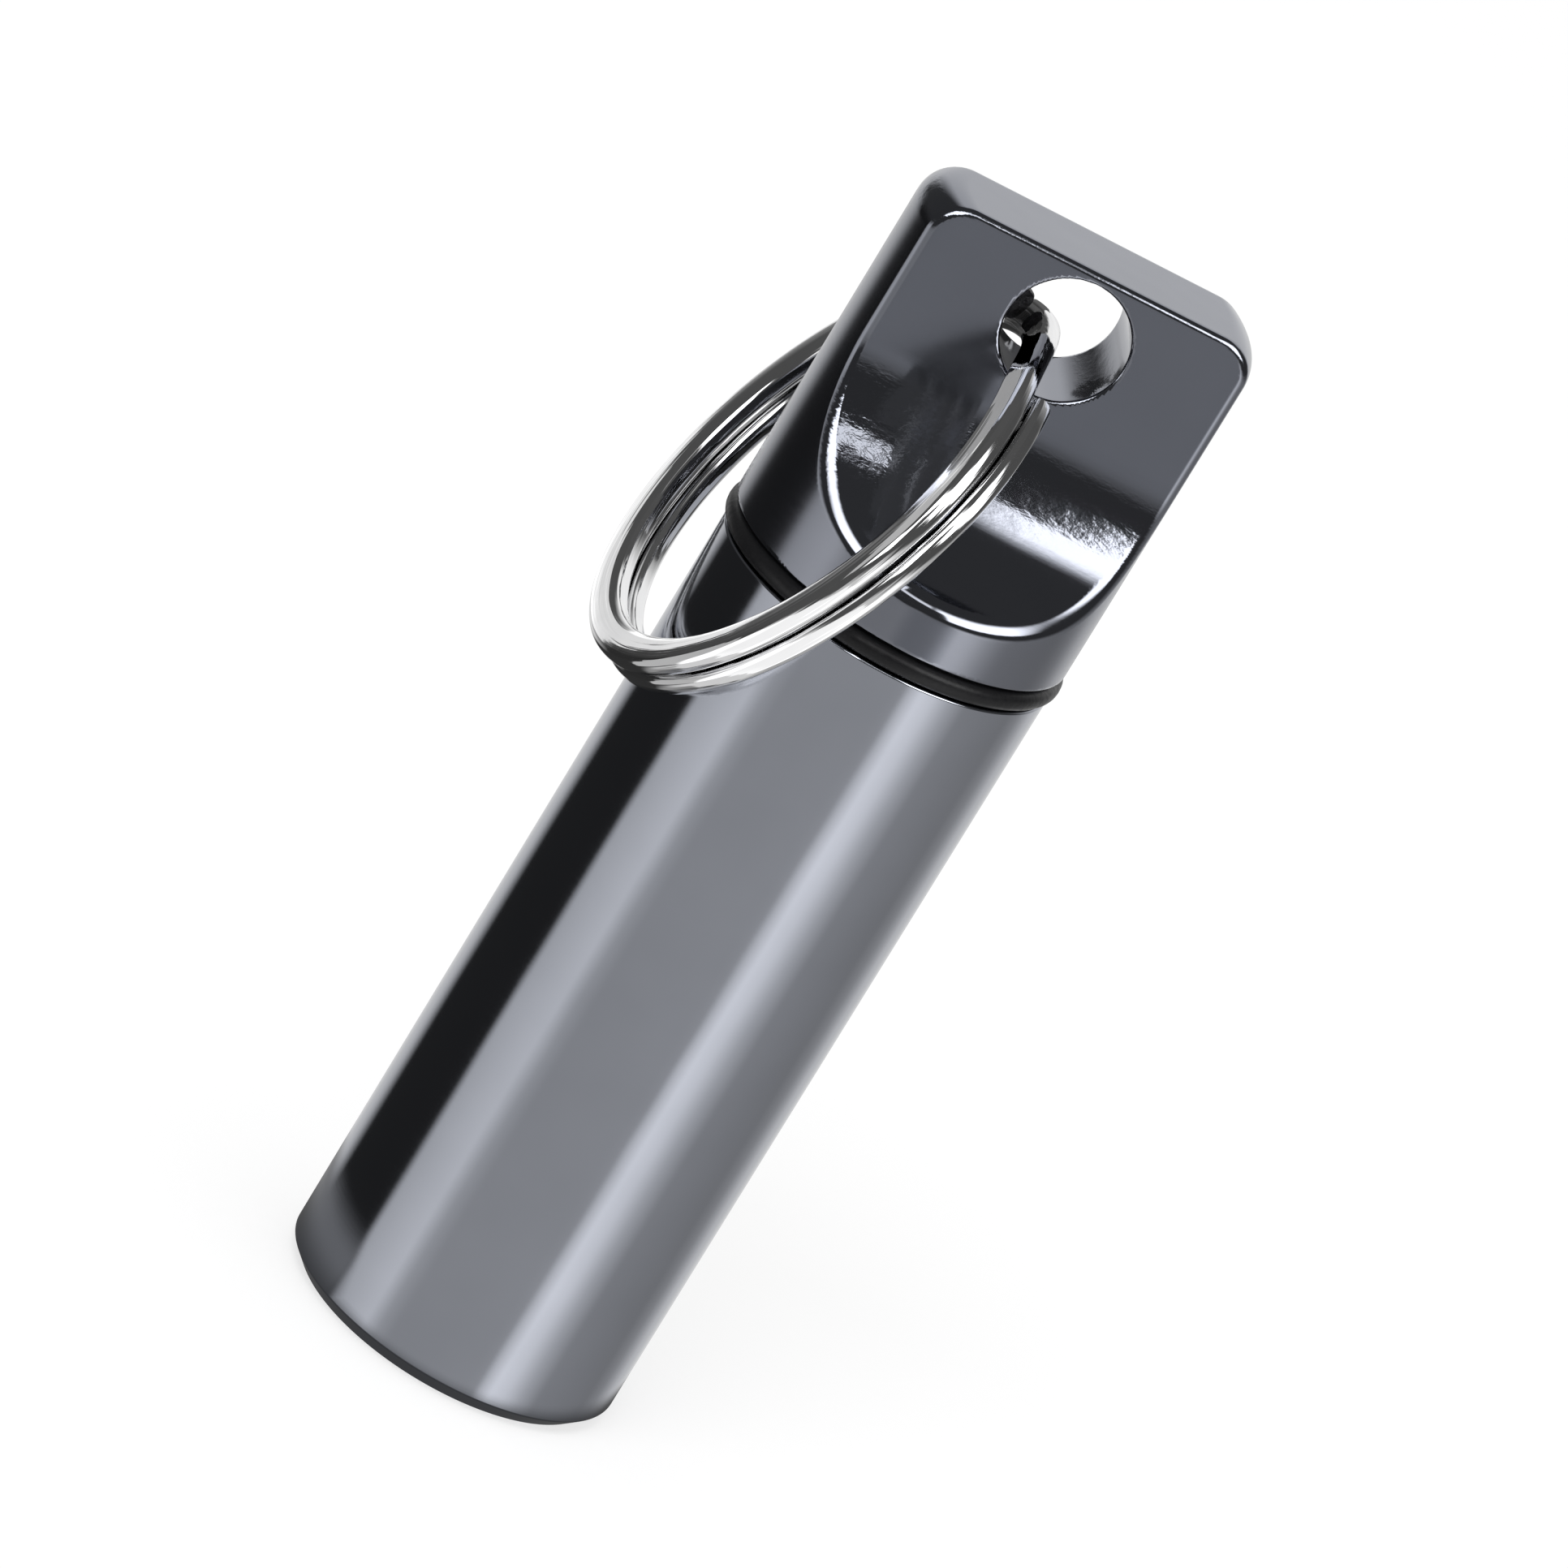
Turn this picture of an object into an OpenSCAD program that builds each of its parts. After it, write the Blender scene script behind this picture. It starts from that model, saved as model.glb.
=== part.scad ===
// Screw-top pill capsule on a split ring.
// The capsule stands on its closed end, +Z up, with the origin at the middle of its foot.
// The flats of the cap's tab face -Y and +Y, and the ring hangs on the -X side.

/* [Body tube] */
// Outside diameter of the body tube
tube_d = 14; // [13:0.5:24]
// Height of the body tube, from its foot to its rim
tube_h = 34.3; // [24:0.1:70]
// Wall thickness round the pill compartment
bore_wall = 1.6; // [1.2:0.1:2.4]
// Wall thickness at the mouth, measured at the root of the thread
mouth_wall = 1; // [0.8:0.1:1.4]
// Thickness of the closed end
floor_t = 1.6; // [1:0.1:4]
// Chamfer round the foot
foot_chamfer = 0.6; // [0.2:0.05:0.9]
// Chamfer on the outer edge of the rim
rim_chamfer = 0.12; // [0.05:0.01:0.25]

/* [Thread] */
// Pitch of the screw thread, which is also the cap's rise in one turn
thread_pitch = 1; // [0.8:0.1:1.5]
// How far the thread's ridge stands out of the wall of the mouth
thread_depth = 0.5; // [0.35:0.05:0.6]
// Number of turns of ridge on the plug and in the mouth
thread_turns = 4; // [2:0.5:6]
// Clearance between the plug and the mouth, measured along a radius
thread_play = 0.15; // [0.1:0.01:0.2]
// Clearance along the axis between two flanks that face each other
flank_play = 0.07; // [0.05:0.01:0.1]
// Angle of a flank from square to the axis
flank_angle = 30; // [20:1:30]

/* [Cap] */
// How far the cap stands proud of the body tube all round
cap_proud = 0.1; // [0:0.05:0.4]
// Height of the round skirt below the lowest point of each scallop
skirt_h = 2.2; // [1.5:0.1:8]
// Radius of the milled scallop that runs from each flat out to the skirt
scallop_r = 7.2; // [5:0.1:12]
// How far each flat runs on below the hole before the scallop starts
flat_below = 0.65; // [0.2:0.05:4]
// Thickness of the tab between its two flats
tab_t = 4.5; // [3:0.1:6]
// Diameter of the hole for the ring
hole_d = 4.9; // [4.4:0.1:6]
// Metal left between the hole and the top face
hole_land = 0.45; // [0.4:0.05:3]
// Radius turned on the top edge of the cap
top_r = 1.5; // [0.5:0.1:2.5]
// Chamfer on the two long edges of the top face
tab_chamfer = 0.25; // [0.1:0.05:0.4]
// Countersink on both ends of the hole
hole_chamfer = 0.15; // [0.05:0.05:0.3]
// Chamfer on the lower edge of the skirt
skirt_chamfer = 0.15; // [0.05:0.05:0.4]
// Smooth length of the plug that the seal sits round and that enters the mouth
neck_below = 0.3; // [0.2:0.1:2]
// Length of the tapered lead at the free end of the plug
lead_h = 0.5; // [0.3:0.1:1.5]

/* [Seal] */
// Height of the gap between the rim and the cap, which the squeezed seal fills
seal_gap = 1; // [0.6:0.05:1.6]
// How far the squeezed seal bulges out past the body tube
seal_proud = 0.22; // [0:0.02:0.5]
// Clearance between the seal and the metal above, below and inside it
seal_play = 0.03; // [0.02:0.01:0.08]

/* [Split ring] */
// Outside diameter of the split ring
ring_d = 21; // [19:0.5:34]
// Width of the flattened wire, measured along the ring's radius
wire_w = 1.5; // [1:0.1:1.8]
// Thickness of the flattened wire, measured along the ring's axis
wire_t = 0.75; // [0.5:0.05:0.9]
// Radius on the corners of the wire
wire_corner = 0.22; // [0.1:0.02:0.24]
// Gap between the two turns of the wire
turn_gap = 0.42; // [0.42:0.02:0.8]
// Angle round the ring over which the wire steps from one turn to the other
step_span = 40; // [30:5:60]
// Angle from the hole to the middle of that step, towards the back of the tab
step_at = -6; // [-20:1:20]
// How far the ring is twisted on its hanging direction
ring_twist = 3; // [-4:0.5:4]
// Clearance between the wire and the wall of the hole
hole_play = 0.15; // [0.1:0.05:0.3]
// Clearance between the hanging ring and the side of the body tube
rest_gap = 0.3; // [0.2:0.05:1]

/* [Hidden] */
$fn = 96;

// How far a cutter reaches past what it cuts, and how far two joined forms overlap
over = 1;
eps = 0.01;

// Body tube and its mouth
tube_r = tube_d / 2;
bore_r = tube_r - bore_wall;
mouth_r = tube_r - mouth_wall;

// Thread
crest_r = mouth_r - thread_depth;
core_r = crest_r - thread_play;
plug_r = mouth_r - thread_play;
mid_r = (mouth_r + core_r) / 2;
mid_w = thread_pitch / 2 - flank_play;
thread_h = thread_turns * thread_pitch;
root_bite = 0.15;
turn_steps = 32;
fade_turn = 0.25;

// Cap, from the lower face of its skirt upwards
cap_r = tube_r + cap_proud;
cap_z = tube_h + seal_gap;
tab_half = tab_t / 2;
scallop_w = cap_r - tab_half;
scallop_drop = scallop_w < scallop_r
    ? sqrt(pow(scallop_r, 2) - pow(scallop_r - scallop_w, 2))
    : scallop_r;
flat_z = cap_z + skirt_h + scallop_drop;
hole_z = flat_z + flat_below + hole_d / 2;
top_z = hole_z + hole_d / 2 + hole_land;

// Plug under the cap: neck, run-out cone, thread and tapered lead
neck_z = tube_h - neck_below;
run_out = plug_r - core_r;
ridge_z = neck_z - run_out - thread_h;
plug_z = ridge_z - lead_h;
mouth_z = plug_z - lead_h;

// Seal
seal_in = plug_r + seal_play;
seal_out = tube_r + seal_proud;
seal_w = seal_out - seal_in;
seal_h = seal_gap - 2 * seal_play;

// Split ring. It hangs from the lip of the hole and leans on the side of the body tube.
ring_r = (ring_d - wire_w) / 2;
ring_in = ring_r - wire_w / 2;
turn_pitch = wire_t + turn_gap;
ring_half = (turn_pitch + wire_t) / 2;
lip_sag = ring_in - sqrt(pow(ring_in, 2) - pow(tab_half, 2));
lip_reach = sqrt(pow(hole_d / 2 - hole_play, 2) - pow(wire_t, 2));
ring_drop = lip_reach - lip_sag - wire_w / 2;
hang_reach = ring_drop + ring_r + ring_in;
hang_angle = asin((tube_r + rest_gap) / norm([hang_reach, ring_half])) + atan(ring_half / hang_reach);
ring_step = 5;

// A ridge that winds once round per pitch, right-handed. base_r lies inside the wall that carries it,
// and the ridge fades into that wall at both ends.
module ridge(base_r, top_r, base_w, top_w, z, turns) {
    n = round(turns * turn_steps);
    fade = round(fade_turn * turn_steps);
    hidden = abs(root_bite / (top_r - base_r)) / 2;
    function share(i) = min(1, hidden + (1 - hidden) * min(i, n - i) / fade);
    function tip(i) = base_r + (top_r - base_r) * share(i);
    function tip_w(i) = base_w + (top_w - base_w) * share(i);
    function section(i) = [[base_r, -base_w / 2], [tip(i), -tip_w(i) / 2], [tip(i), tip_w(i) / 2], [base_r, base_w / 2]];
    function place(i, p) = [
        p[0] * cos(360 * i / turn_steps),
        p[0] * sin(360 * i / turn_steps),
        z + p[1] + thread_pitch * i / turn_steps
    ];
    tube(
        [for (i = [0:n]) [for (p = section(i)) place(i, p)]],
        top_r < base_r
    );
}

// A closed skin over a row of sections that have the same number of points
module tube(sections, flip = false) {
    n = len(sections);
    m = len(sections[0]);
    first = [for (j = [0:m - 1]) m - 1 - j];
    last = [for (j = [0:m - 1]) (n - 1) * m + j];
    sides = [
        for (i = [0:n - 2]) for (j = [0:m - 1]) let (k = (j + 1) % m)
        each [[i * m + j, i * m + k, (i + 1) * m + k], [i * m + j, (i + 1) * m + k, (i + 1) * m + j]]
    ];
    faces = concat([first], [last], sides);
    polyhedron(
        points = [for (s = sections) each s],
        faces = flip ? [for (f = faces) [for (j = [len(f) - 1:-1:0]) f[j]]] : faces
    );
}

module body_tube() {
    base_w = mid_w + 2 * (mouth_r - mid_r) * tan(flank_angle);
    top_w = mid_w - 2 * (mid_r - crest_r) * tan(flank_angle);
    color([0.44, 0.45, 0.48])
    union() {
        rotate_extrude()
        polygon([
            [0, 0],
            [tube_r - foot_chamfer, 0],
            [tube_r, foot_chamfer],
            [tube_r, tube_h - rim_chamfer],
            [tube_r - rim_chamfer, tube_h],
            [mouth_r, tube_h],
            [mouth_r, mouth_z],
            [bore_r, mouth_z - (mouth_r - bore_r)],
            [bore_r, floor_t],
            [0, floor_t]
        ]);
        ridge(mouth_r + root_bite, crest_r, base_w, top_w, ridge_z + thread_pitch / 2, thread_turns - 1);
    }
}

// What the mill takes off one side of the cap: the flat, and the scallop below it
module flat_cut() {
    long = 2 * (cap_r + over);
    deep = cap_r + over;
    translate([0, -tab_half - scallop_r, flat_z])
    rotate([0, 90, 0])
    cylinder(r = scallop_r, h = long, center = true);
    translate([-long / 2, -tab_half - deep, flat_z])
    cube([long, deep, top_z - flat_z + over]);
    translate([-long / 2, -tab_half - scallop_r - deep, flat_z - scallop_r])
    cube([long, deep, top_z - flat_z + scallop_r + over]);
    translate([0, -tab_half, top_z])
    rotate([45, 0, 0])
    cube([long, tab_chamfer * sqrt(2), tab_chamfer * sqrt(2)], center = true);
}

module cap() {
    base_w = mid_w + 2 * (mid_r - core_r) * tan(flank_angle);
    top_w = mid_w - 2 * (plug_r - mid_r) * tan(flank_angle);
    color([0.38, 0.39, 0.43])
    union() {
        difference() {
            rotate_extrude()
            union() {
                polygon([
                    [0, plug_z],
                    [core_r - lead_h / 2, plug_z],
                    [core_r, plug_z + lead_h],
                    [core_r, neck_z - run_out],
                    [plug_r, neck_z],
                    [plug_r, cap_z],
                    [cap_r - skirt_chamfer, cap_z],
                    [cap_r, cap_z + skirt_chamfer],
                    [cap_r, top_z - top_r],
                    [cap_r - top_r, top_z - top_r],
                    [cap_r - top_r, top_z],
                    [0, top_z]
                ]);
                intersection() {
                    translate([cap_r - top_r, top_z - top_r])
                    circle(r = top_r);
                    translate([cap_r - top_r - eps, top_z - top_r - eps])
                    square(top_r + 2 * eps);
                }
            }
            flat_cut();
            mirror([0, 1, 0])
            flat_cut();
            translate([0, 0, hole_z])
            rotate([90, 0, 0])
            cylinder(d = hole_d, h = tab_t + 2 * over, center = true);
            for (side = [-1, 1])
                translate([0, side * tab_half, hole_z])
                rotate([-90 * side, 0, 0])
                translate([0, 0, -hole_chamfer])
                cylinder(d1 = hole_d, d2 = hole_d + 4 * hole_chamfer, h = 2 * hole_chamfer);
        }
        ridge(core_r - root_bite, plug_r, base_w, top_w, ridge_z, thread_turns - fade_turn);
    }
}

module seal_ring() {
    color([0.05, 0.05, 0.05])
    rotate_extrude()
    intersection() {
        translate([(seal_in + seal_out) / 2, tube_h + seal_gap / 2])
        circle(d = seal_w);
        translate([seal_in - over, tube_h + seal_play])
        square([seal_w + 2 * over, seal_h]);
    }
}

// The wire of the ring, followed from its cut end behind the tab, twice round to its cut end in front.
// An angle of 0 is in the hole, and the wire leaves it towards the back of the tab.
function step_share(a) = min(1, max(0, (a - 360 - step_at) / step_span + 0.5));
function turn_x(a) = turn_pitch * (pow(step_share(a), 2) * (3 - 2 * step_share(a)) - 0.5);
function wire_point(a, r, x) = [turn_x(a) + x, r * sin(a), r * cos(a)];
wire_from = step_at + step_span / 2;
wire_to = 720 + step_at - step_span / 2;
wire_n = ceil((wire_to - wire_from) / ring_step);
wire_angles = [for (i = [0:wire_n]) wire_from + (wire_to - wire_from) * i / wire_n];
corner_a = wire_corner * (1 - cos(45));
wire_section = [
    for (s = [[1, 1], [1, -1], [-1, -1], [-1, 1]]) let (
        w = wire_w / 2,
        t = wire_t / 2,
        turned = s[0] * s[1] > 0,
        p = [s[0] * (w - wire_corner), s[1] * t],
        q = [s[0] * (w - corner_a), s[1] * (t - corner_a)],
        r = [s[0] * w, s[1] * (t - wire_corner)]
    )
    each (turned ? [p, q, r] : [r, q, p])
];
wire_sections = [for (a = wire_angles) [for (p = wire_section) wire_point(a, ring_r + p[0], p[1])]];

// The least gap between the two turns, measured on the points of the wire
far_apart = 180;
wire_gap = min([
    for (i = [0:wire_n]) for (j = [i + 1:1:wire_n])
    if (wire_angles[j] - wire_angles[i] > far_apart && abs(wire_angles[j] - wire_angles[i] - 360) < 2 * ring_step)
    for (p = wire_sections[i]) for (q = wire_sections[j]) norm(p - q)
]);
echo(least_gap_between_turns = wire_gap);

module split_ring() {
    color([0.82, 0.82, 0.84])
    translate([0, 0, hole_z])
    rotate([0, hang_angle, 0])
    translate([0, 0, -ring_drop - ring_r])
    rotate([0, 0, ring_twist])
    tube(wire_sections);
}

body_tube();
cap();
seal_ring();
split_ring();
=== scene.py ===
# Looks of the pill fob keychain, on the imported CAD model. Lengths are in millimetres until a mesh is made.
import math

import bpy
import numpy as np
from mathutils import Matrix, Vector


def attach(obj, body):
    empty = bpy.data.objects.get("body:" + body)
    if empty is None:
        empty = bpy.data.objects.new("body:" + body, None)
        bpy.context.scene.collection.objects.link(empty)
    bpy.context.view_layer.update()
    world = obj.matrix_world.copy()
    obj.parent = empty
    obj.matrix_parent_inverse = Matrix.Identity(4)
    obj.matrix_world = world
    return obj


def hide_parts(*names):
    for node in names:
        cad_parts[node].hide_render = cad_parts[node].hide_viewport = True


MM = 0.001

# The tube, whose mouth narrows to the bore between MOUTH_LOW_Z and BORE_TOP_Z
TUBE_R, TUBE_H = 7.0, 34.3
MOUTH_R, MOUTH_LOW_Z = 6.0, 28.5
BORE_R, BORE_TOP_Z = 5.4, 27.9
FLOOR_T = 1.6
FOOT_CHAMFER = 0.6

# The cap above the seal, with the hole and the two scallops that leave the tab
CAP_R, CAP_Z = 7.1, 35.3
TOP_Z, TOP_R = 50.3062, 1.5
TAB_HALF = 2.25
SCALLOP_R, FLAT_Z = 7.2, 44.306
HOLE_R, HOLE_Z = 2.45, 47.4062

# How far the cap's edges are rounded. The scallop's edge grows rounder over SOFTER_OVER below SOFTER_Z.
SKIRT_EDGE, HOLE_EDGE = 0.15, 0.14
SCALLOP_EDGE, SCALLOP_SOFTER = 0.28, 0.22
SOFTER_Z, SOFTER_OVER = 43.5, 5

# The plug and its thread
PITCH = 1.0
CORE_R, PLUG_R, CREST_R = 5.35, 5.85, 5.5
NECK_Z, RIDGE_Z, PLUG_Z = 34.0, 29.5, 29.0
LEAD_H = 0.5
MOUTH_TURNS, PLUG_TURNS = 3, 3.75
THREAD_MID_R, THREAD_MID_HALF = 5.675, 0.215
FLANK = math.radians(30)
ROOT_SUNK = 0.15

# The seal
SEAL_IN, SEAL_OUT, SEAL_H = 5.88, 7.22, 0.94
SEAL_Z = TUBE_H + 0.5

# The split ring's wire, and how the ring hangs in the hole
RING_R = 9.75
WIRE_W, WIRE_T = 1.5, 0.9
TURN_PITCH = 1.0
WIRE_START, WIRE_STOP = 14.0, 694.0
RING_DROP, HANG, TWIST = 10.888, 24.27, 3.0
RING_PLACE = (
    Matrix.Translation((0, 0, HOLE_Z)) @ Matrix.Rotation(math.radians(HANG), 4, "Y")
    @ Matrix.Translation((0, 0, -RING_DROP)) @ Matrix.Rotation(math.radians(TWIST), 4, "Z")
)

# The photograph's camera
AZIMUTH, ELEVATION, ROLL = math.radians(-14.38), math.radians(20.21), math.radians(31.49)
TARGET, DISTANCE, LENS = Vector((0, 0, 0.025)), 0.4979, 302.8
SHIFT = (0.0110, 0.0105)

# What polished metal mirrors all round it: azimuth from the camera's side in degrees, and level
SURROUNDINGS = [
    (-180, 1.0), (-150, 1.0), (-144, 0.85), (-138, 0.45), (-132, 0.035), (-79, 0.035), (-73.5, 1.1),
    (-45, 1.45), (-35, 0.9), (-26, 0.73), (30, 0.76), (37, 0.8), (41, 1.4), (48, 2.0), (57, 1.75),
    (68, 1.1), (80, 0.64), (120, 0.48), (132, 0.6), (148, 1.0), (180, 1.0),
]
BRIGHTEST = 2.0
SOFTBOX, CEILING, BACKDROP, ROOM = 5.5, 0.11, 1.25, 0.1
FLOOR_BELOW, FLOOR_AT_LEFT = 0.95, 0.04

# What diffuse surfaces get from all round, and what the camera sees
DOME, WHITE = 0.9, 1.0

# The floor: paper, of which the camera sees a share as plain white
PAPER, FLOOR_WHITE, FLOOR_SHARE = 0.9, 1.16, 0.6

# The head of the cap lies between these corners
HEAD_LOW, HEAD_HIGH = (-7.3, -7.3, 35.1), (7.3, 7.3, 50.5)


# Meshes

def new_object(name, verts, faces, normals, material, body, node, slot):
    mesh = bpy.data.meshes.new(name)
    mesh.from_pydata((np.asarray(verts) * MM).tolist(), [], faces)
    mesh.polygons.foreach_set("use_smooth", [True] * len(mesh.polygons))
    mesh.update()
    mesh.normals_split_custom_set_from_vertices(np.asarray(normals, float).tolist())
    obj = bpy.data.objects.new(name, mesh)
    bpy.context.scene.collection.objects.link(obj)
    mesh.materials.append(material)
    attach(obj, body)
    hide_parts(node)
    return obj


def rounded(corners, steps=5):
    """A closed outline in (r, z) with each corner (r, z, radius) turned into an arc, and its normals, which
    point to the right of the way that the outline runs."""
    points, normals = [], []
    n = len(corners)
    for i in range(n):
        p = np.array(corners[i][:2], float)
        a = np.array(corners[i - 1][:2], float)
        b = np.array(corners[(i + 1) % n][:2], float)
        da, db = (p - a) / np.linalg.norm(p - a), (b - p) / np.linalg.norm(b - p)
        na, nb = np.array([da[1], -da[0]]), np.array([db[1], -db[0]])
        turn = math.acos(np.clip(da @ db, -1, 1))
        radius = corners[i][2]
        if radius <= 0 or turn < 1e-3:
            points += [p, p]
            normals += [na, nb]
            continue
        cut = radius * math.tan(turn / 2)
        side = math.copysign(1, da[0] * db[1] - da[1] * db[0])
        centre = p - da * cut - na * radius * side
        for k in range(steps + 1):
            t = k / steps
            w = na * math.sin((1 - t) * turn) + nb * math.sin(t * turn)
            w = w / np.linalg.norm(w)
            points.append(centre + w * radius * side)
            normals.append(w)
    return np.array(points), np.array(normals)


def revolve(outline, around=256):
    """Turns a closed outline round the Z axis."""
    points, normals = outline
    m = len(points)
    turn = 2 * math.pi * np.arange(around) / around
    c, s = np.cos(turn)[:, None], np.sin(turn)[:, None]
    verts = np.stack([points[:, 0] * c, points[:, 0] * s, points[:, 1] + 0 * c], -1).reshape(-1, 3)
    norms = np.stack([normals[:, 0] * c, normals[:, 0] * s, normals[:, 1] + 0 * c], -1).reshape(-1, 3)
    on_axis = points[:, 0] < 1e-6
    faces = []
    for j in range(m):
        k = (j + 1) % m
        if np.linalg.norm(points[j] - points[k]) < 1e-6 or (on_axis[j] and on_axis[k]):
            continue
        for i in range(around):
            i2 = (i + 1) % around
            quad = [i * m + j, i2 * m + j, i2 * m + k, i * m + k]
            if on_axis[j]:
                quad = [j, i2 * m + k, i * m + k]
            elif on_axis[k]:
                quad = [i * m + j, i2 * m + j, k]
            faces.append(quad)
    return verts, faces, norms


def sweep(sections, normals, ends):
    """A tube over a row of sections. Each end is closed with one face over a copy of the end section."""
    n, m = sections.shape[:2]
    verts, norms = [sections.reshape(-1, 3)], [normals.reshape(-1, 3)]
    faces = [
        [i * m + j, i * m + (j + 1) % m, (i + 1) * m + (j + 1) % m, (i + 1) * m + j]
        for i in range(n - 1) for j in range(m)
    ]
    start = n * m
    for section, normal in zip((sections[0], sections[-1]), ends):
        verts.append(section)
        norms.append(np.tile(normal, (m, 1)))
        face = list(range(start, start + m))
        faces.append(face[::-1] if start == n * m else face)
        start += m
    return np.concatenate(verts), faces, np.concatenate(norms)


def skin(field, lo, hi, cell, slabs=16, rounds=4):
    """The surface where field(p) is 0, as quads: one vertex for each cell that the surface passes through,
    moved onto the surface."""
    axes = [np.arange(a, b + cell, cell) for a, b in zip(lo, hi)]
    grid = np.array_split(np.stack(np.meshgrid(*axes, indexing="ij"), -1), slabs)
    f = np.concatenate([field(slab.reshape(-1, 3)).reshape(slab.shape[:3]) for slab in grid])
    inside = f < 0
    shape = np.array(f.shape) - 1
    count = np.zeros(shape, np.uint8)
    corners = [(i, j, k) for i in (0, 1) for j in (0, 1) for k in (0, 1)]
    for i, j, k in corners:
        count += inside[i:i + shape[0], j:j + shape[1], k:k + shape[2]]
    active = np.argwhere((count > 0) & (count < 8))
    number = np.full(shape, -1, np.int64)
    number[tuple(active.T)] = np.arange(len(active))
    total, hits = np.zeros((len(active), 3)), np.zeros(len(active))
    for a in corners:
        for axis in range(3):
            if a[axis]:
                continue
            b = list(a)
            b[axis] = 1
            fa = f[tuple((active + a).T)]
            fb = f[tuple((active + b).T)]
            cross = (fa < 0) != (fb < 0)
            t = np.where(cross, fa / np.where(cross, fa - fb, 1), 0)
            p = np.array(a, float) + np.outer(t, np.eye(3)[axis])
            total += p * cross[:, None]
            hits += cross
    verts = np.array(lo) + cell * (active + total / hits[:, None])
    for _ in range(rounds):
        value, slope = field(verts), gradient(field, verts)
        step = value[:, None] * slope / np.maximum((slope ** 2).sum(1), 0.2)[:, None]
        verts = verts - np.clip(step, -cell / 2, cell / 2)
    slope = gradient(field, verts)
    normals = slope / np.linalg.norm(slope, axis=1)[:, None]
    return verts, crossings(inside, number), normals


def crossings(inside, number):
    """A quad over each edge of the grid that the surface crosses, between the cells' vertices round it."""
    quads = []
    for axis in range(3):
        du, dv = np.eye(3, dtype=int)[(axis + 1) % 3], np.eye(3, dtype=int)[(axis + 2) % 3]
        near = [slice(1, -1)] * 3
        near[axis] = slice(0, -1)
        far = list(near)
        far[axis] = slice(1, None)
        a, b = inside[tuple(near)], inside[tuple(far)]
        for sign in (True, False):
            at = np.argwhere((a != b) & (a == sign)) + 1
            at[:, axis] -= 1
            quad = np.stack([number[tuple(q.T)] for q in (at - du - dv, at - dv, at, at - du)], 1)
            quads.append(quad if sign else quad[:, ::-1])
    return np.concatenate(quads).tolist()


def gradient(field, p, h=1e-3):
    return np.stack([(field(p + h * e) - field(p - h * e)) / (2 * h) for e in np.eye(3)], 1)


def joined(*parts):
    verts, faces, normals, base = [], [], [], 0
    for v, f, n in parts:
        verts.append(v)
        normals.append(n)
        faces += [[i + base for i in face] for face in f]
        base += len(v)
    return np.concatenate(verts), faces, np.concatenate(normals)


def meet(a, b, r):
    """Intersection of two solids given as distances, with an edge of radius r."""
    reach = np.hypot(np.maximum(r + a, 0), np.maximum(r + b, 0))
    return np.minimum(-r, np.maximum(a, b)) + reach


def cap_field(p):
    """How far points lie outside the cap's head, negative inside it."""
    x, y, z = p[:, 0], np.abs(p[:, 1]), p[:, 2]
    out = np.hypot(x, p[:, 1]) - CAP_R
    body = meet(out, z - TOP_Z, TOP_R)
    body = meet(body, CAP_Z - z, SKIRT_EDGE)
    below = np.minimum(z - FLAT_Z, 0)
    cut = SCALLOP_R - np.hypot(y - TAB_HALF - SCALLOP_R, below)
    low = np.clip((SOFTER_Z - z) / SOFTER_OVER, 0, 1)
    body = meet(body, cut, SCALLOP_EDGE + SCALLOP_SOFTER * low * low * (3 - 2 * low))
    return meet(body, HOLE_R - np.hypot(x, z - HOLE_Z), HOLE_EDGE)


def thread(base_r, top_r, z, turns, steps=96, fade=0.25):
    """A right-handed ridge, as in the CAD model, with smaller steps. Both ends rise out of the metal."""
    slope = math.tan(FLANK)
    n = round(turns * steps)
    sections, normals = [], []
    sign = math.copysign(1, top_r - base_r)
    hidden = abs(ROOT_SUNK / (top_r - base_r)) / 2
    full_base = THREAD_MID_HALF + sign * (THREAD_MID_R - base_r) * slope
    full_tip = THREAD_MID_HALF - sign * (top_r - THREAD_MID_R) * slope
    flank = np.array([sign * slope, 1]) / math.hypot(slope, 1)
    up = np.array([0, 0, 1])
    for i in range(n + 1):
        share = min(1, hidden + (1 - hidden) * min(i, n - i) / (fade * steps))
        tip = base_r + (top_r - base_r) * share
        tip_w = full_base + (full_tip - full_base) * share
        a = 2 * math.pi * i / steps
        out = np.array([math.cos(a), math.sin(a), 0])
        ring = [(base_r, -full_base), (tip, -tip_w), (tip, tip_w), (base_r, full_base)]
        points = [out * r + up * (z + h + PITCH * i / steps) for r, h in ring]
        low, high = out * flank[0] - up * flank[1], out * flank[0] + up * flank[1]
        sections.append([points[0], points[1], points[1], points[2], points[2], points[3]])
        normals.append([low, low, out * sign, out * sign, high, high])
    verts, faces, norms = sweep(np.array(sections), np.array(normals), ((0, -1, 0), (0, 1, 0)))
    if sign < 0:
        faces = [face[::-1] for face in faces]
    return verts, faces, norms


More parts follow.
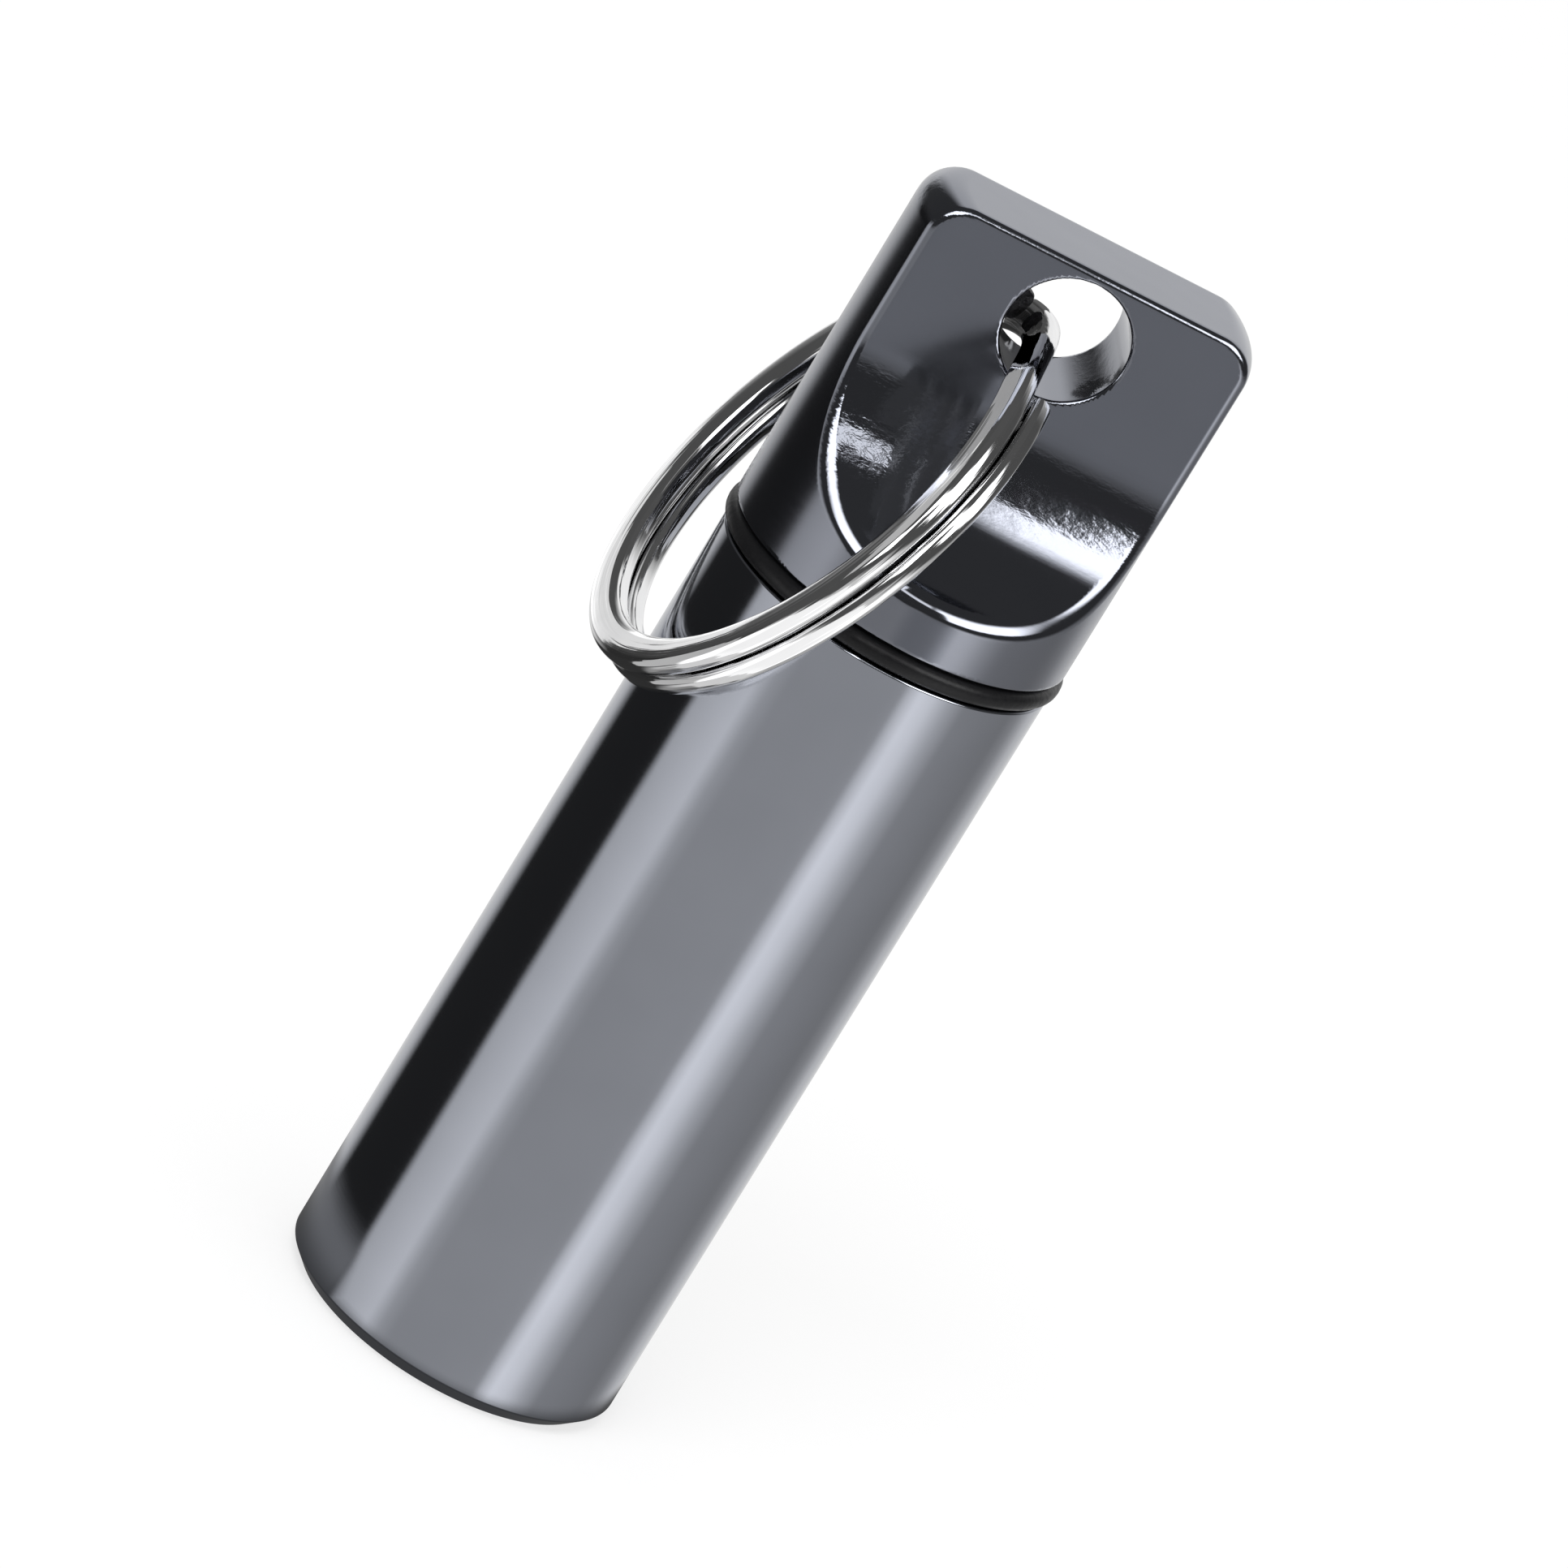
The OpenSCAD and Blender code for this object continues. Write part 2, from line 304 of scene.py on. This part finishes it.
def ring_mesh(along=680, around=48):
    """Two turns of flattened wire with crowned faces, wound right over each other."""
    # the wire steps over to the second turn here, and each end is rounded over its last stretch
    step_at, step_span = -6.0, 40.0
    end_length, end_shrink = 0.35, 0.14
    crown = 3.2
    t = 2 * np.pi * np.arange(around) / around
    sx = np.sign(np.cos(t)) * np.abs(np.cos(t)) ** (2 / crown)
    sy = np.sign(np.sin(t)) * np.abs(np.sin(t)) ** (2 / crown)
    radial, axial = sx * WIRE_W / 2, sy * WIRE_T / 2
    nr = np.sign(sx) * np.abs(sx) ** (crown - 1) / (WIRE_W / 2)
    nx = np.sign(sy) * np.abs(sy) ** (crown - 1) / (WIRE_T / 2)
    size = np.hypot(nr, nx)
    nr, nx = nr / size, nx / size
    a = np.linspace(WIRE_START, WIRE_STOP, along + 1)
    share = np.clip((a - 360 - step_at) / step_span + 0.5, 0, 1)
    shift = TURN_PITCH * (share ** 2 * (3 - 2 * share) - 0.5)
    rad = np.radians(a)[:, None]
    to_end = np.minimum(np.arange(along + 1), along - np.arange(along + 1))
    far = to_end * (WIRE_STOP - WIRE_START) / along * math.pi / 180 * RING_R
    shrink = 1 - end_shrink * np.clip(1 - far / end_length, 0, 1)[:, None] ** 2
    r = RING_R + radial[None] * shrink
    x = shift[:, None] + axial[None] * shrink
    sections = np.stack([x, r * np.sin(rad), r * np.cos(rad)], -1)
    normals = np.stack([nx + 0 * rad, nr * np.sin(rad), nr * np.cos(rad)], -1)
    first, last = [
        np.array([0, math.cos(math.radians(k)), -math.sin(math.radians(k))]) for k in (WIRE_START, WIRE_STOP)
    ]
    verts, faces, norms = sweep(sections, normals, (-first, last))
    place = np.array(RING_PLACE)
    return verts @ place[:3, :3].T + place[:3, 3], faces, norms @ place[:3, :3].T


# Shader nodes

class Graph:
    """Short names for making shader nodes. Places in shaders are in metres."""

    def __init__(self, tree):
        self.tree = tree
        tree.nodes.clear()

    def node(self, kind, **settings):
        made = self.tree.nodes.new(kind)
        for name, value in settings.items():
            setattr(made, name, value)
        return made

    def put(self, socket, value):
        if isinstance(value, bpy.types.NodeSocket):
            self.tree.links.new(value, socket)
        else:
            socket.default_value = value

    def math(self, operation, a, b=None):
        made = self.node("ShaderNodeMath", operation=operation)
        self.put(made.inputs[0], a)
        if b is not None:
            self.put(made.inputs[1], b)
        return made.outputs[0]

    def plus(self, a, b):
        return self.math("ADD", a, b)

    def times(self, a, b):
        return self.math("MULTIPLY", a, b)

    def larger(self, a, b):
        return self.math("MAXIMUM", a, b)

    def size_of(self, a):
        return self.math("ABSOLUTE", a)

    def length(self, vector):
        made = self.node("ShaderNodeVectorMath", operation="LENGTH")
        self.put(made.inputs[0], vector)
        return made.outputs["Value"]

    def parts(self, vector):
        made = self.node("ShaderNodeSeparateXYZ")
        self.put(made.inputs[0], vector)
        return made.outputs

    def vector(self, x, y, z):
        made = self.node("ShaderNodeCombineXYZ")
        for socket, value in zip(made.inputs, (x, y, z)):
            self.put(socket, value)
        return made.outputs[0]

    def span(self, x, lo, hi, to_lo=0.0, to_hi=1.0):
        """A smooth step of x from lo to hi."""
        made = self.node("ShaderNodeMapRange", interpolation_type="SMOOTHSTEP")
        for i, value in enumerate((x, lo, hi, to_lo, to_hi)):
            self.put(made.inputs[i], value)
        return made.outputs[0]

    def window(self, x, lo, hi, soft):
        """1 between lo and hi, falling to 0 over soft outside them."""
        return self.times(self.span(x, lo - soft, lo), self.span(x, hi + soft, hi))

    def blend(self, factor, a, b):
        made = self.node("ShaderNodeMix", data_type="FLOAT")
        self.put(made.inputs[0], factor)
        self.put(made.inputs[2], a)
        self.put(made.inputs[3], b)
        return made.outputs[0]

    def colours(self, factor, a, b, blend_type="MIX"):
        made = self.node("ShaderNodeMix", data_type="RGBA", blend_type=blend_type)
        self.put(made.inputs[0], factor)
        self.put(made.inputs[6], a)
        self.put(made.inputs[7], b)
        return made.outputs[2]

    def noise(self, vector, scale, detail=3.0, rough=0.5):
        made = self.node("ShaderNodeTexNoise")
        self.put(made.inputs["Vector"], vector)
        made.inputs["Scale"].default_value = scale
        made.inputs["Detail"].default_value = detail
        made.inputs["Roughness"].default_value = rough
        return made.outputs[0]

    def scaled(self, vector, factors):
        made = self.node("ShaderNodeMapping")
        self.put(made.inputs["Vector"], vector)
        made.inputs["Scale"].default_value = factors
        return made.outputs[0]

    def ramp(self, x, stops):
        made = self.node("ShaderNodeValToRGB")
        self.put(made.inputs[0], x)
        elements = made.color_ramp.elements
        elements.remove(elements[1])
        elements[0].position = 0
        for at, value in stops:
            element = elements[0] if at <= 0 else elements.new(at)
            element.color = grey(value)
        return made.outputs[0]

    def bump(self, shader, height, distance, after=None):
        made = self.node("ShaderNodeBump")
        made.inputs["Strength"].default_value = 1.0
        made.inputs["Distance"].default_value = distance
        self.put(made.inputs["Height"], height)
        if after is not None:
            self.put(made.inputs["Normal"], after)
        self.put(shader.inputs["Normal"], made.outputs[0])
        return made.outputs[0]


def grey(level):
    return (level, level, level, 1)


# Materials

def material(name, metallic):
    made = bpy.data.materials.new(name)
    made.use_nodes = True
    graph = Graph(made.node_tree)
    out = graph.node("ShaderNodeOutputMaterial")
    shader = graph.node("ShaderNodeBsdfPrincipled")
    made.node_tree.links.new(shader.outputs[0], out.inputs[0])
    shader.inputs["Metallic"].default_value = metallic
    place = graph.node("ShaderNodeTexCoord").outputs["Object"]
    return made, graph, shader, place


def gunmetal(name, dark, light, rough, milled=False):
    """Polished and anodised aluminium: faint turning lines, slow mottling and waves."""
    made, graph, shader, place = material(name, 1.0)
    slow = graph.noise(place, 260, 2)
    fine = graph.noise(graph.scaled(place, (600, 600, 9000)), 1.0, 2)
    grain = graph.noise(place, 9000, 2)
    wave = graph.noise(graph.scaled(place, (220, 220, 90)), 1.0, 2)
    tint = graph.colours(slow, (*dark, 1), (*light, 1))
    unevenness = graph.plus(graph.times(fine, 0.05), graph.times(grain, 0.04))
    dull = graph.plus(unevenness, rough - 0.045)
    height = graph.plus(graph.times(fine, 0.5), graph.times(wave, 20.0))
    normal = graph.bump(shader, height, 0.0000012)
    if milled:
        tint, dull = milling(graph, shader, place, tint, dull, normal)
    graph.put(shader.inputs["Base Color"], tint)
    graph.put(shader.inputs["Roughness"], dull)
    return made


def milling(graph, shader, place, tint, dull, normal):
    """The cap's upright faces are duller, its flats darker, and the mill has left ripples in each scallop."""
    facing = graph.parts(graph.node("ShaderNodeNewGeometry").outputs["Normal"])
    x, _, z = graph.parts(place)
    upright = graph.span(graph.size_of(facing[2]), 0.1, 0.02)
    dull = graph.plus(dull, graph.times(upright, 0.11))
    flat = graph.span(graph.size_of(facing[1]), 0.985, 0.999)
    tint = graph.colours(flat, tint, (0.72, 0.73, 0.75, 1), "MULTIPLY")
    # the ripples fill the upper half, and at the left they reach lower and are deeper
    sloped = graph.window(facing[2], 0.22, 0.7, 0.12)
    left = graph.span(x, -0.002, -0.0035)
    reach = graph.plus(z, graph.times(left, 0.0014))
    upper = graph.times(graph.span(reach, 0.0396, 0.0412), sloped)
    depth = graph.times(upper, graph.plus(left, 1.0))
    ripple = graph.noise(graph.scaled(place, (1500, 1500, 3400)), 1.0, 3, 0.6)
    graph.bump(shader, graph.times(ripple, depth), 0.000009, after=normal)
    return tint, dull


def rubber():
    made, graph, shader, place = material("seal_rubber", 0.0)
    grain = graph.noise(place, 5000, 3)
    tint = graph.colours(graph.noise(place, 500), (0.006, 0.006, 0.007, 1), (0.012, 0.012, 0.013, 1))
    graph.put(shader.inputs["Base Color"], tint)
    graph.put(shader.inputs["Roughness"], graph.span(grain, 0.2, 0.8, 0.3, 0.45))
    shader.inputs["Specular IOR Level"].default_value = 0.25
    graph.bump(shader, grain, 0.00001)
    return made


def chrome():
    """Polished wire, with the fine lines that drawing it has left along it."""
    made, graph, shader, place = material("ring_steel", 1.0)
    slow = graph.noise(place, 400, 2)
    hair = graph.noise(place, 3000, 4)
    tint = graph.colours(slow, (0.74, 0.74, 0.75, 1), (0.86, 0.86, 0.86, 1))
    graph.put(shader.inputs["Base Color"], tint)
    graph.put(shader.inputs["Roughness"], graph.span(hair, 0.3, 0.7, 0.04, 0.09))
    # in the ring's own frame, x runs along its axis
    back = RING_PLACE.inverted()
    own = graph.node("ShaderNodeMapping")
    graph.put(own.inputs["Vector"], place)
    own.inputs["Location"].default_value = back.translation * MM
    own.inputs["Rotation"].default_value = back.to_euler("XYZ")
    x, y, z = graph.parts(own.outputs[0])
    radius = graph.length(graph.vector(0.0, y, z))
    # across the wire the pattern changes fast, and along it slowly
    across, along = 3600.0, 120.0
    lane = graph.vector(
        graph.plus(graph.times(x, across), graph.times(y, along)),
        graph.plus(graph.times(radius, across), graph.times(z, along)),
        0.0,
    )
    lines = graph.noise(lane, 1.0, 2)
    graph.bump(shader, graph.plus(graph.times(slow, 0.4), lines), 0.000035)
    return made


def cut_steel():
    """The wire's sheared ends, which have no plating, and whose near-black tint is also painted shade."""
    made, graph, shader, place = material("ring_cut", 1.0)
    grain = graph.noise(place, 6000, 3)
    tint = graph.colours(grain, (0.05, 0.05, 0.055, 1), (0.11, 0.11, 0.115, 1))
    graph.put(shader.inputs["Base Color"], tint)
    graph.put(shader.inputs["Roughness"], graph.span(grain, 0.3, 0.7, 0.35, 0.5))
    graph.bump(shader, grain, 0.00002)
    return made


# The four pieces

def body_tube():
    metal = gunmetal("gunmetal_tube", (0.33, 0.345, 0.385), (0.37, 0.385, 0.43), 0.09)
    outline = rounded([
        (0, 0, 0), (TUBE_R - FOOT_CHAMFER, 0, 0.12), (TUBE_R, FOOT_CHAMFER, 0.15), (TUBE_R, TUBE_H, 0.12),
        (MOUTH_R, TUBE_H, 0.1), (MOUTH_R, MOUTH_LOW_Z, 0), (BORE_R, BORE_TOP_Z, 0), (BORE_R, FLOOR_T, 0.3),
        (0, FLOOR_T, 0),
    ])
    ridge = thread(MOUTH_R + ROOT_SUNK, CREST_R, RIDGE_Z + PITCH / 2, MOUTH_TURNS)
    tube = joined(revolve(outline), ridge)
    new_object("tube_body", *tube, metal, "capsule", "body_tube", "gunmetal_tube")


def cap():
    metal = gunmetal("gunmetal_cap", (0.22, 0.23, 0.262), (0.245, 0.255, 0.29), 0.08, milled=True)
    # the plug is sunk into the head
    inside_z = CAP_Z + 0.3
    outline = rounded([
        (0, PLUG_Z, 0), (CORE_R - LEAD_H / 2, PLUG_Z, 0.1), (CORE_R, PLUG_Z + LEAD_H, 0.1),
        (CORE_R, NECK_Z - PLUG_R + CORE_R, 0), (PLUG_R, NECK_Z, 0), (PLUG_R, inside_z, 0), (0, inside_z, 0),
    ])
    cell = 0.125
    head = skin(cap_field, HEAD_LOW, HEAD_HIGH, cell)
    ridge = thread(CORE_R - ROOT_SUNK, PLUG_R, RIDGE_Z, PLUG_TURNS)
    whole = joined(head, revolve(outline), ridge)
    new_object("cap_head", *whole, metal, "screw_cap", "cap", "gunmetal_cap")


def seal_ring(around=28, squareness=0.85):
    """A round cord squeezed flat, so that its section is between an ellipse and a box."""
    points = []
    for k in range(around):
        t = 2 * math.pi * k / around
        c, s = math.cos(t), math.sin(t)
        points.append((
            (SEAL_IN + SEAL_OUT) / 2 + (SEAL_OUT - SEAL_IN) / 2 * math.copysign(abs(c) ** squareness, c),
            SEAL_Z + SEAL_H / 2 * math.copysign(abs(s) ** squareness, s),
        ))
    points = np.array(points)
    run = np.roll(points, -1, 0) - np.roll(points, 1, 0)
    normals = np.stack([run[:, 1], -run[:, 0]], 1) / np.linalg.norm(run, axis=1)[:, None]
    cord = revolve((points, normals))
    new_object("seal_cord", *cord, rubber(), "seal", "seal_ring", "seal_rubber")


def split_ring():
    ring = new_object("ring_wire", *ring_mesh(), chrome(), "key_ring", "split_ring", "ring_steel")
    # the two end faces are the only ones with more than four corners
    ring.data.materials.append(cut_steel())
    for face in ring.data.polygons:
        face.material_index = int(len(face.vertices) > 4)
    return ring


# Floor, light and camera

def floor(side=3.0):
    mesh = bpy.data.meshes.new("floor")
    corners = [(-side, -side, 0), (side, -side, 0), (side, side, 0), (-side, side, 0)]
    mesh.from_pydata(corners, [], [(0, 1, 2, 3)])
    obj = bpy.data.objects.new("floor", mesh)
    bpy.context.scene.collection.objects.link(obj)
    made = bpy.data.materials.new("floor_paper")
    made.use_nodes = True
    graph = Graph(made.node_tree)
    out = graph.node("ShaderNodeOutputMaterial")
    paper = graph.node("ShaderNodeBsdfDiffuse")
    paper.inputs["Color"].default_value = grey(PAPER)
    white = graph.node("ShaderNodeEmission")
    white.inputs["Strength"].default_value = FLOOR_WHITE
    mix = graph.node("ShaderNodeMixShader")
    camera_ray = graph.node("ShaderNodeLightPath").outputs["Is Camera Ray"]
    graph.put(mix.inputs[0], graph.times(camera_ray, FLOOR_SHARE))
    graph.put(mix.inputs[1], paper.outputs[0])
    graph.put(mix.inputs[2], white.outputs[0])
    graph.put(out.inputs[0], mix.outputs[0])
    mesh.materials.append(made)
    obj.visible_glossy = False


def directions(graph):
    """Azimuth from the camera's side, growing to the right, and height above the horizon, in degrees."""
    turned = graph.node("ShaderNodeVectorRotate", rotation_type="Z_AXIS")
    graph.put(turned.inputs["Vector"], graph.node("ShaderNodeTexCoord").outputs["Generated"])
    turned.inputs["Angle"].default_value = -AZIMUTH
    x, y, z = graph.parts(turned.outputs[0])
    degree = 180 / math.pi
    side = graph.times(graph.math("ARCTAN2", x, graph.times(y, -1.0)), degree)
    high = graph.times(graph.math("ARCSINE", z), degree)
    return side, high


def reflected(graph):
    """What polished metal mirrors: upright bands low down and the backdrop above them, with a softbox in
    front, a dark ceiling and the floor. All numbers are degrees, apart from the levels."""
    side, high = directions(graph)
    turn = graph.plus(graph.math("DIVIDE", side, 360.0), 0.5)
    stops = [(azimuth / 360 + 0.5, level / BRIGHTEST) for azimuth, level in SURROUNDINGS]
    around = graph.times(graph.ramp(turn, stops), BRIGHTEST)
    back = graph.larger(graph.span(side, 120, 155), graph.span(side, -141, -160))
    horizon = graph.blend(back, ROOM, BACKDROP)
    ahead = graph.window(side, -30, 8, 12)
    fade = graph.span(high, graph.blend(ahead, -12, -15), graph.blend(ahead, 4, -8))
    light = graph.blend(fade, around, horizon)
    light = graph.blend(graph.span(high, 46, 58), light, CEILING)
    upright = graph.times(graph.span(high, 17, 22), graph.span(high, 56, 45))
    box = graph.times(upright, graph.window(side, -30, 72, 12))
    light = graph.plus(graph.times(light, graph.math("SUBTRACT", 1.0, box)), graph.times(box, SOFTBOX))
    under_left = graph.times(graph.span(side, -95, -110), graph.span(high, -24, -32))
    light = graph.blend(under_left, light, FLOOR_AT_LEFT)
    return graph.blend(graph.span(high, -60, -74), light, FLOOR_BELOW)


def studio():
    """White for the camera, an even dome for diffuse surfaces, and a studio of its own for reflections."""
    world = bpy.data.worlds.new("studio")
    bpy.context.scene.world = world
    world.use_nodes = True
    graph = Graph(world.node_tree)
    out = graph.node("ShaderNodeOutputWorld")
    path = graph.node("ShaderNodeLightPath")
    level = graph.blend(path.outputs["Is Glossy Ray"], DOME, reflected(graph))
    level = graph.blend(path.outputs["Is Camera Ray"], level, WHITE)
    shade = graph.node("ShaderNodeBackground")
    graph.put(shade.inputs["Strength"], level)
    graph.put(out.inputs[0], shade.outputs[0])


def lamp(name, place, aim, size, power):
    data = bpy.data.lights.new(name, "AREA")
    data.shape, data.size, data.energy = "DISK", size, power
    obj = bpy.data.objects.new(name, data)
    bpy.context.scene.collection.objects.link(obj)
    obj.location = place
    obj.rotation_euler = (Vector(aim) - Vector(place)).to_track_quat("-Z", "Y").to_euler()
    obj.visible_glossy = False


def way(azimuth, height):
    """The direction at an azimuth and a height, in radians."""
    return Vector((
        math.sin(azimuth) * math.cos(height), -math.cos(azimuth) * math.cos(height), math.sin(height)
    ))


def camera():
    data = bpy.data.cameras.new("camera")
    data.lens, data.sensor_width = LENS, 36.0
    data.shift_x, data.shift_y = SHIFT
    data.clip_start, data.clip_end = 0.01, 20
    obj = bpy.data.objects.new("camera", data)
    bpy.context.scene.collection.objects.link(obj)
    back = way(AZIMUTH, ELEVATION)
    right = Vector((math.cos(AZIMUTH), math.sin(AZIMUTH), 0))
    up = back.cross(right)
    across = math.cos(ROLL) * right + math.sin(ROLL) * up
    upward = math.cos(ROLL) * up - math.sin(ROLL) * right
    turn = Matrix((across, upward, back)).transposed()
    obj.matrix_world = Matrix.Translation(TARGET + back * DISTANCE) @ turn.to_4x4()
    bpy.context.scene.camera = obj


# Stage cards

def card(name, verts, look, faces=None, only=None):
    """A card that only reflections see, and that lets them through. look takes the graph and its place, and
    gives the card's level and how much it covers what is behind it. Without a cover it adds to that."""
    mesh = bpy.data.meshes.new(name)
    mesh.from_pydata((np.asarray(verts) * MM).tolist(), [], faces or [tuple(range(len(verts)))])
    obj = bpy.data.objects.new(name, mesh)
    bpy.context.scene.collection.objects.link(obj)
    made = bpy.data.materials.new(name)
    made.use_nodes = True
    graph = Graph(made.node_tree)
    out = graph.node("ShaderNodeOutputMaterial")
    light = graph.node("ShaderNodeEmission")
    clear = graph.node("ShaderNodeBsdfTransparent")
    level, cover = look(graph, graph.node("ShaderNodeTexCoord").outputs["Object"])
    graph.put(light.inputs["Strength"], level)
    if cover is None:
        both = graph.node("ShaderNodeAddShader")
    else:
        both = graph.node("ShaderNodeMixShader")
        graph.put(both.inputs[0], cover)
    graph.put(both.inputs[-2], clear.outputs[0])
    graph.put(both.inputs[-1], light.outputs[0])
    graph.put(out.inputs[0], both.outputs[0])
    mesh.materials.append(made)
    obj.visible_camera = obj.visible_diffuse = obj.visible_shadow = obj.visible_transmission = False
    if only is not None:
        group = bpy.data.collections.new(name + "_receivers")
        group.objects.link(only)
        obj.light_linking.receiver_collection = group


def even(level, cover=None):
    """The same all over the card."""
    return lambda graph, place: (level, cover)


def one_sided(graph, place):
    """Black on the card's front, as painted shade, clear from its back."""
    behind = graph.node("ShaderNodeNewGeometry").outputs["Backfacing"]
    return 0.0, graph.math("SUBTRACT", 1.0, behind)


def painted_floor_shade(graph, place):
    """Painted shade: the floor close round the foot as reflections see it, darkest where they touch, and
    further out in front of its left side.
    """
    away = graph.length(place)
    x, y, _ = graph.parts(place)
    left_front = graph.times(graph.span(x, 0.002, -0.002), graph.span(y, -0.0054, -0.0036))
    further = graph.times(left_front, graph.span(away, 0.0155, 0.0115))
    cover = graph.larger(graph.span(away, 0.0095, 0.0075), further)
    return graph.span(away, 0.0072, 0.011, 0.1, 0.3), cover


def box_flag(graph, place):
    """Shapes the softbox's highlight in the scallop: dimmer and narrower at the left, then faint."""
    x, _, z = graph.parts(place)
    under = graph.times(graph.span(x, 0.0232, 0.0204), graph.span(z, 0.087, 0.081))
    # a line across the scallop, wherever it is in height
    lane = graph.math("SUBTRACT", x, graph.times(graph.math("SUBTRACT", z, 0.085), 0.17))
    over = graph.times(graph.span(lane, 0.0142, 0.0128), graph.span(z, 0.1, 0.108))
    left = graph.span(lane, 0.0128, 0.0142, 0.4, 0.88)
    right = graph.span(lane, 0.0182, 0.0202, 0.4, 0.0)
    between = graph.blend(graph.span(lane, 0.0158, 0.0176), left, right)
    return 0.08, graph.larger(graph.larger(under, over), between)


def facing_front(y, left, right, low, high):
    """A card's corners, in an upright plane across the object."""
    return [(left, y, low), (right, y, low), (right, y, high), (left, y, high)]


def patch(centre, radius, sides, heights, steps=12):
    """Part of a sphere. Azimuths are counted from the camera's side."""
    verts = []
    for i in range(steps + 1):
        azimuth = math.radians(sides[0] + (sides[1] - sides[0]) * i / steps) + AZIMUTH
        for j in range(steps + 1):
            height = math.radians(heights[0] + (heights[1] - heights[0]) * j / steps)
            verts.append(tuple(Vector(centre) + way(azimuth, height) * radius))
    w = steps + 1
    faces = [
        (i * w + j, i * w + j + 1, (i + 1) * w + j + 1, (i + 1) * w + j)
        for i in range(steps) for j in range(steps)
    ]
    return verts, faces


def cards(ring):
    side, lift = 17, 0.02
    ground = [(-side, -side, lift), (side, -side, lift), (side, side, lift), (-side, side, lift)]
    # painted shade of the floor round the foot, which only reflections see
    card("painted_floor_shade", ground, painted_floor_shade)
    # painted shade in and behind the hole, dark cards that only reflections see: the first card's corners run
    # from the top down, so that its front looks in
    card("hole_shade_flag", facing_front(-2.2, -2.5, -0.3, 49.9, 44.9), one_sided)
    corners = [(-2.6, 44.4), (1.2, 44.4), (1.2, 45.7), (0.3, 45.9), (0.3, 47.2), (-2.6, 47.2)]
    card("hole_back_shade", [(x, 3.4, z) for x, z in corners], even(0.03, 0.9))
    # painted shade along the hole's wall, for reflections
    wall = [(x, y, z) for x, z in ((-2.4, 47.6), (-2.1, 46.3), (-1.3, 45.4)) for y in (-2.15, 2.15)]
    card("hole_wall_shade", wall, one_sided, faces=[(0, 2, 3, 1), (2, 4, 5, 3)])
    # before the softbox, and, as painted shade in the flat's reflection, before the place where the ring
    # leaves the hole
    card("box_flag", facing_front(-60, -12, 32, 54, 130), box_flag)
    corners = [(-1.4, 45.4), (-4.4, 42.7), (-3.1, 42.6), (-3.1, 41), (-0.8, 41), (-0.8, 45.4)]
    card("ring_shade_flag", [(x, -5.2, z) for x, z in corners], even(0.12, 0.9))
    # light for the ring alone
    left = [(-19, -12, 42), (-11.5, 5, 41.5), (-11.5, 5, 48), (-19, -12, 52)]
    card("ring_left", left, even(0.45), only=ring)
    card("tab_fill", facing_front(-2.6, -7.5, -2, 41.5, 46.5), even(0.35), only=ring)
    behind = [(-26, 24, 20), (-13, 31.5, 20), (-13, 31.5, 33), (-26, 24, 33)]
    card("ring_side", behind, even(0.7), only=ring)
    verts, faces = patch((-4, 0, 38), 39, (-100, 38), (-62, -12))
    card("ring_fill", verts, even(0.5), faces, only=ring)


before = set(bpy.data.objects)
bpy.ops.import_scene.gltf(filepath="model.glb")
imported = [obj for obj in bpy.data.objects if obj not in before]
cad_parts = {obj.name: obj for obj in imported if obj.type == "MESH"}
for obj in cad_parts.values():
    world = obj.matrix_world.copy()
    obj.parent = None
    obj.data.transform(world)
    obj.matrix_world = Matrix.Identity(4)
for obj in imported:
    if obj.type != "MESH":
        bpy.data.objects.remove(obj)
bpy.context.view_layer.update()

body_tube()
cap()
seal_ring()
ring = split_ring()
floor()
studio()
cards(ring)
lamp("key", place=(-0.25, -0.35, 0.6), aim=(0, 0, 0.02), size=0.35, power=1.6)
camera()
bpy.context.scene.view_settings.view_transform = "Standard"
